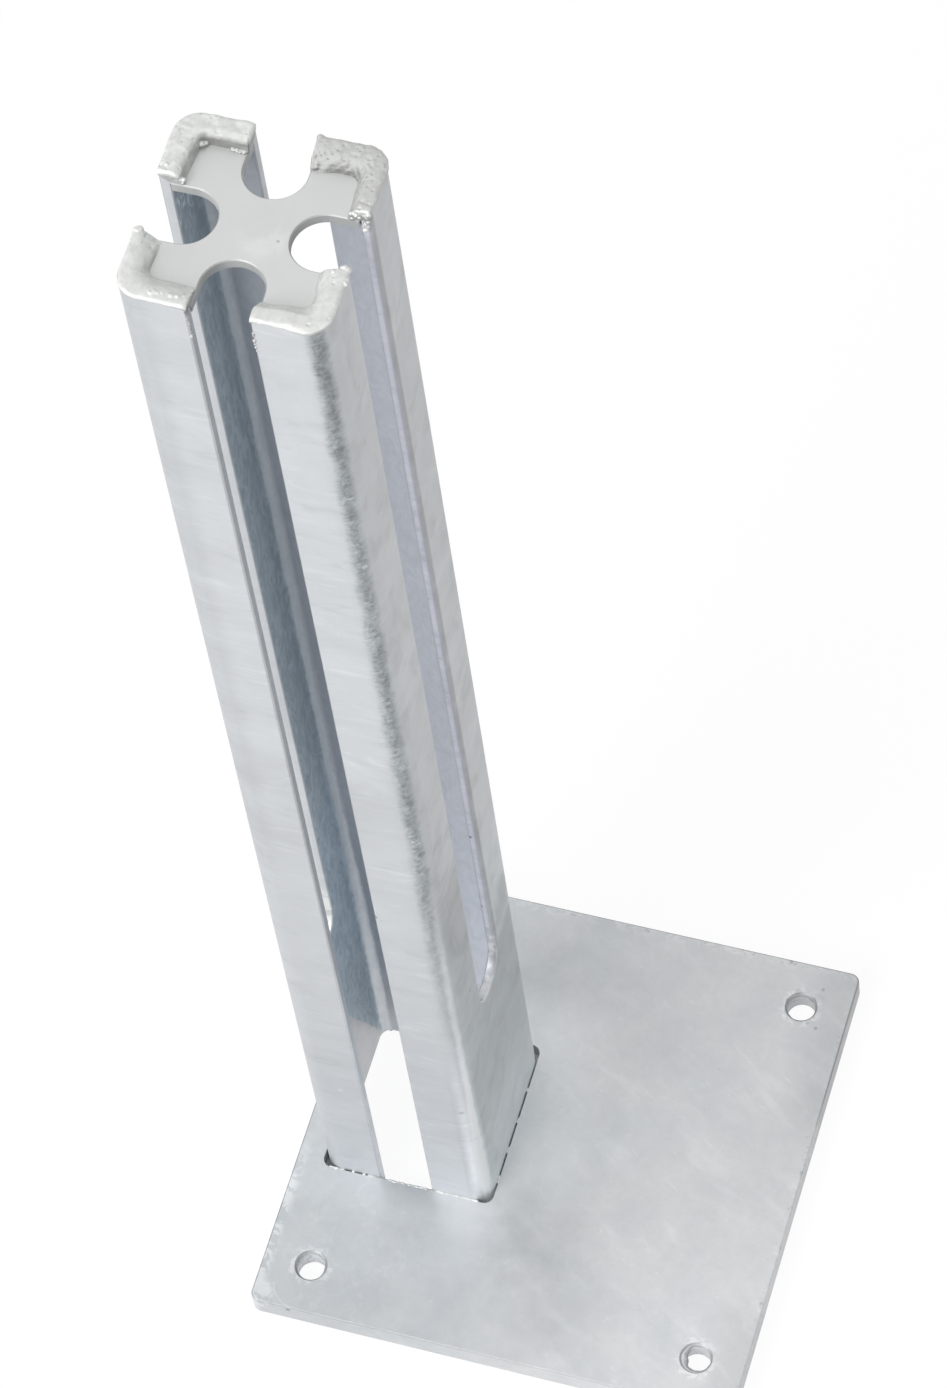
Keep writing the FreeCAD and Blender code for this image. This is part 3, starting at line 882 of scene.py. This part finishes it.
def bead_skin(mesh, side_x, side_y, shape):
    """Closed skin of one corner's bead, swept along the corner."""
    rings = []
    stations = 72
    start = -0.02
    end = 3.03
    foot_radius = shape["foot_radius"] * MM
    for index in range(stations + 1):
        place = start + (end - start) * index / stations
        foot = between(shape["foot"], place) * MM
        ring = []
        for inset, height in bead_section(shape, place):
            share = max(0.0, min(1.0, inset / foot))
            radius = bend_outer_radius + (foot_radius - bend_outer_radius) * share
            x, y = corner_point(side_x, side_y, place, inset, radius)
            ring.append(mesh.verts.new((x, y, head_top + height)))
        rings.append(ring)
    join_rings(mesh, rings)
    mesh.faces.new(rings[0])
    mesh.faces.new(rings[-1][::-1])
    bmesh.ops.recalc_face_normals(mesh, faces=mesh.faces)


def head_bead(side_x, side_y, seed):
    """Lumpy weld bead in one top corner, which laps over the rim and drips at its ends."""
    node_name = "head_weld_" + ("front" if side_y < 0 else "back") + "_" + ("left" if side_x < 0 else "right")
    rng = random.Random(seed)
    mesh = bmesh.new()
    bead_skin(mesh, side_x, side_y, bead_shapes[side_x, side_y])
    for drip in bead_drips[side_x, side_y]:
        scatter(mesh, rng, *drip)
    piece = melted(node_name + "_bead", mesh, fine_voxel)
    layers, pits = bead_skins[side_x, side_y]
    layers = [(wavelength * MM, height * MM) for wavelength, height in layers]
    roughen(piece, layers, seed, post_top)
    pit(piece, rng, pits, radii=(0.35, 0.7), depth=0.3)
    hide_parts(node_name)
    settle(piece, weld_zinc)


for number, (side_x, side_y) in enumerate(bead_shapes):
    head_bead(side_x, side_y, head_bead_seed + number)


def base_bead(side, seed):
    """Lumpy weld bead under one channel's foot."""
    node_name = "base_weld_" + ("left" if side < 0 else "right")
    rng = random.Random(seed)
    mesh = bmesh.new()
    mesh.from_mesh(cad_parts[node_name].data)
    for side_y in (-1, 1):
        start = (side * 23.6, side_y * 24.2, 2.9)
        end = (side * 20.6, side_y * 24.6, 2.7)
        scatter(mesh, rng, start, end, count=5, radii=(0.6, 0.9), spread=0.3)
    piece = melted(node_name + "_bead", mesh, coarse_voxel)
    low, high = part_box(node_name)
    layers = ((2.6 * MM, 0.45 * MM), (1.0 * MM, 0.2 * MM))
    roughen(piece, layers, seed, high.z + 1.5 * MM, low.z - 0.2 * MM)
    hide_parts(node_name)
    settle(piece, weld_zinc)


for number, side in enumerate((-1, 1)):
    base_bead(side, base_bead_seed + number)


# Where zinc closes the narrow gap round the post's foot: the start and end of each stretch along a side,
# in millimetres from the post's axis
foot_runs = {
    "front": ((-24.2, -20.0), (-17.0, -16.6), (-13.6, -13.1), (-12.0, 22.6)),
    "back": ((-22.0, -12.0), (-10.5, 3.0), (4.0, 15.0), (16.0, 21.5)),
    "left": ((-20.0, -12.0), (-11.0, 2.0), (5.0, 18.0)),
    "right": ((-19.5, -17.6), (-9.2, -7.6), (1.2, 2.4), (12.0, 12.8)),
}


def foot_zinc(side_name, seed):
    """Zinc that has run into the gap between the post's foot and the plate, along one side."""
    rng = random.Random(seed)
    mesh = bmesh.new()
    height = (plate_top - 0.4 * MM) / MM
    spacing = 0.4
    runs_along_x = side_name in ("front", "back")
    reach = post_half_width if runs_along_x else post_half_length
    line = (reach + seat_clearance / 2) / MM
    sign = -1 if side_name in ("front", "left") else 1
    for start, end in foot_runs[side_name]:
        count = max(2, int((end - start) / spacing))
        for index in range(count + 1):
            along = start + (end - start) * index / count
            across = sign * line + rng.uniform(-0.1, 0.1)
            x, y = (along, across) if runs_along_x else (across, along)
            centre = post_point(x, y, height + rng.uniform(-0.1, 0.1))
            add_blob(mesh, centre, rng.uniform(0.38, 0.55) * MM)
    piece = melted("foot_zinc_" + side_name, mesh, fine_voxel)
    roughen(piece, ((1.5 * MM, 0.12 * MM),), seed, plate_top + 0.25 * MM)
    settle(piece, weld_zinc)


for number, side_name in enumerate(foot_runs):
    foot_zinc(side_name, foot_zinc_seed + number)


# Zinc left inside each anchor hole: pairs of (angle in degrees, width in millimetres)
hole_rims = {
    "front_left": ((0, 0.5), (40, 0.3), (120, 0.2), (200, 0.3), (300, 0.2), (360, 0.5)),
    "front_right": (
        (0, 0.25), (110, 0.3), (160, 1.6), (195, 2.2), (240, 1.5), (285, 1.1), (330, 0.4), (360, 0.25),
    ),
    "back_left": ((0, 0.3), (90, 0.2), (210, 0.4), (360, 0.3)),
    "back_right": ((0, 0.25), (90, 0.35), (180, 0.3), (270, 0.4), (360, 0.25)),
}

# Outline of that zinc, from its top down: how far it stands off the hole's wall, and its height in
# millimetres. Below 0 it stands inwards and counts in widths, and above 0 it lies in the wall.
rim_outline = ((0.25, 7.3), (-0.3, 7.35), (-0.8, 7.0), (-1.0, 6.4), (-1.0, 5.2), (-0.5, 4.2), (0.25, 3.6))


def hole_zinc(name, seed):
    """Uneven skin of zinc inside one anchor hole, thick enough for a ledge in places."""
    side_x = -1 if "left" in name else 1
    side_y = -1 if "front" in name else 1
    centre_x = side_x * (plate_high.x - hole_edge_distance)
    centre_y = side_y * (plate_high.y - hole_edge_distance)
    mesh = bmesh.new()
    rings = []
    step = 5
    for degrees in range(0, 360, step):
        width = between(hole_rims[name], degrees) * MM
        ring = []
        for depth, height in rim_outline:
            radius = hole_radius + (depth * width if depth < 0 else depth * MM)
            x = centre_x + radius * math.cos(math.radians(degrees))
            y = centre_y + radius * math.sin(math.radians(degrees))
            ring.append(mesh.verts.new((x, y, height * MM)))
        rings.append(ring)
    join_rings(mesh, rings + rings[:1])
    bmesh.ops.recalc_face_normals(mesh, faces=mesh.faces)
    piece = melted("hole_zinc_" + name, mesh, fine_voxel)
    roughen(piece, ((1.6 * MM, 0.14 * MM), (0.7 * MM, 0.05 * MM)), seed, plate_top)
    settle(piece, plate_zinc)


for number, hole_name in enumerate(hole_rims):
    hole_zinc(hole_name, hole_zinc_seed + number)


def stage_material():
    """White floor for the camera and reflections, pale floor for other light, and clear from below."""
    stage = new_material("stage_white")
    lit = stage.node("ShaderNodeBsdfDiffuse", {"Color": (0.8, 0.8, 0.8, 1)})
    thin = stage.node("ShaderNodeBsdfDiffuse", {"Color": (0.10, 0.10, 0.10, 1)})
    glow = stage.node("ShaderNodeEmission", {"Color": white, "Strength": 0.935})
    seen = stage.node("ShaderNodeAddShader", {0: thin.outputs[0], 1: glow.outputs[0]})
    choice = stage.node("ShaderNodeMixShader", {0: seen_rays(stage), 1: lit.outputs[0], 2: seen.outputs[0]})
    from_below = stage.node("ShaderNodeNewGeometry").outputs["Backfacing"]
    clear = stage.node("ShaderNodeBsdfTransparent")
    sides = {0: from_below, 1: choice.outputs[0], 2: clear.outputs[0]}
    return stage.show(stage.node("ShaderNodeMixShader", sides))


def seen_rays(shader):
    """1 for camera, glossy and transmission rays."""
    rays = shader.node("ShaderNodeLightPath").outputs
    first = shader.math("MAXIMUM", rays["Is Camera Ray"], rays["Is Glossy Ray"])
    return shader.math("MAXIMUM", first, rays["Is Transmission Ray"])


def add_floor():
    """Large plane that the plate stands on."""
    half = 6.0
    level = -0.1 * MM
    data = bpy.data.meshes.new("floor")
    corners = [(-half, -half, level), (half, -half, level), (half, half, level), (-half, half, level)]
    data.from_pydata(corners, [], [(0, 1, 2, 3)])
    data.materials.append(stage_material())
    plane = bpy.data.objects.new("floor", data)
    bpy.context.scene.collection.objects.link(plane)


def add_world():
    """White surroundings for the camera and reflections, and soft grey light for the rest."""
    sky = Shader(bpy.data.worlds.new("studio"))
    strength = sky.ramp(seen_rays(sky), 0, 1, 0.35, 1.0, smooth=False)
    background = sky.node("ShaderNodeBackground", {"Color": white, "Strength": strength})
    bpy.context.scene.world = sky.show(background, "ShaderNodeOutputWorld")


def add_softbox(name, direction, distance, size, level):
    """Square area lamp that lights a white surface facing it to the given level."""
    data = bpy.data.lights.new(name, "AREA")
    data.shape = "SQUARE"
    data.size = size
    data.energy = level * math.pi ** 2 * distance ** 2
    lamp = bpy.data.objects.new(name, data)
    aim = Vector((0, 0, 0.2))
    towards = Vector(direction).normalized()
    lamp.location = aim + towards * distance
    lamp.rotation_euler = towards.to_track_quat("Z", "Y").to_euler()
    bpy.context.scene.collection.objects.link(lamp)


def add_camera():
    """Camera at the photograph's place, angle and framing."""
    data = bpy.data.cameras.new("camera")
    data.sensor_fit = "HORIZONTAL"
    data.sensor_width = sensor_width
    data.lens = camera_lens
    data.clip_end = 50
    made = bpy.data.objects.new("camera", data)
    made.location = camera_place
    level = (camera_target - camera_place).to_track_quat("-Z", "Y")
    made.rotation_mode = "QUATERNION"
    made.rotation_quaternion = level @ Quaternion((0, 0, 1), camera_roll)
    bpy.context.scene.collection.objects.link(made)
    bpy.context.scene.camera = made


add_floor()
add_world()
add_softbox("key_lamp", direction=(-0.40, -0.75, 0.55), distance=2.2, size=1.4, level=0.8)
add_camera()
bpy.context.scene.view_settings.view_transform = "Standard"
